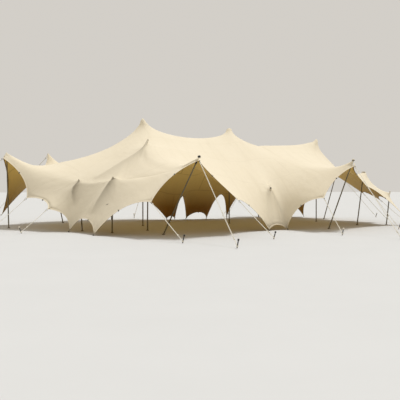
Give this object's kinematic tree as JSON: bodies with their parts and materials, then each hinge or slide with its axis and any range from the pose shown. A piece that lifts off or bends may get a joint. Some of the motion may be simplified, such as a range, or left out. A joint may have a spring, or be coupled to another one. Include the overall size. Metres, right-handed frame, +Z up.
{
  "type": "stretch tent",
  "caption": "Freeform stretch tent: an elastic cream sheet pushed up by poles and held out by guy ropes, stakes and pegs.",
  "frame": {"origin": "on the ground, under the middle of the whole tent's bounding box, guy stakes included", "axes": "+X along the front to the right, +Y from the front to the back, +Z up"},
  "size_m": [25.5466, 21.4508, 5.1056],
  "materials": {
    "cloth": "matt elastic coated cloth, cream outside and golden in its own shade below",
    "pole": "treated dark timber",
    "rope": "pale laid rope",
    "steel": "dark worn steel"
  },
  "bodies": {
    "root": {"canopy_back_1": "cloth", "canopy_back_2": "cloth", "canopy_back_3": "cloth", "canopy_back_4": "cloth", "canopy_front_1": "cloth", "canopy_front_2": "cloth", "canopy_front_3": "cloth", "canopy_front_4": "cloth", "edge_pole_back_corner": "pole", "edge_pole_back_left": "pole", "edge_pole_back_right": "pole", "edge_pole_front_left": "pole", "edge_pole_front_right": "pole", "edge_pole_left": "pole", "edge_pole_right": "pole", "front_pole_left": "pole", "guy_back_0": "rope", "guy_back_1": "rope", "guy_back_2": "rope", "guy_back_3": "rope", "guy_back_4": "rope", "guy_back_5": "rope", "guy_corner_back_left": "rope", "guy_front_1": "rope", "guy_front_2": "rope", "guy_front_3": "rope", "guy_front_4": "rope", "guy_front_5": "rope", "guy_front_6": "rope", "guy_left_1": "rope", "guy_left_2": "rope", "guy_left_3": "rope", "guy_left_4": "rope", "guy_right_1": "rope", "guy_right_2": "rope", "guy_right_3": "rope", "main_pole_left": "pole", "main_pole_middle": "pole", "main_pole_right": "pole", "peg_back_tie_1": "steel", "peg_back_tie_2": "steel", "peg_back_tie_3": "steel", "peg_back_tie_4": "steel", "peg_back_tie_5": "steel", "peg_corner_back_right": "steel", "peg_corner_front_left": "steel", "peg_corner_front_right": "steel", "peg_front_tie_1": "steel", "peg_front_tie_2": "steel", "peg_left_tie": "steel", "prop_pole_front_corner": "pole", "prop_pole_front_middle": "pole", "prop_pole_left": "pole", "prop_pole_right_inner": "pole", "prop_pole_right_outer": "pole"}
  },
  "joints": []
}
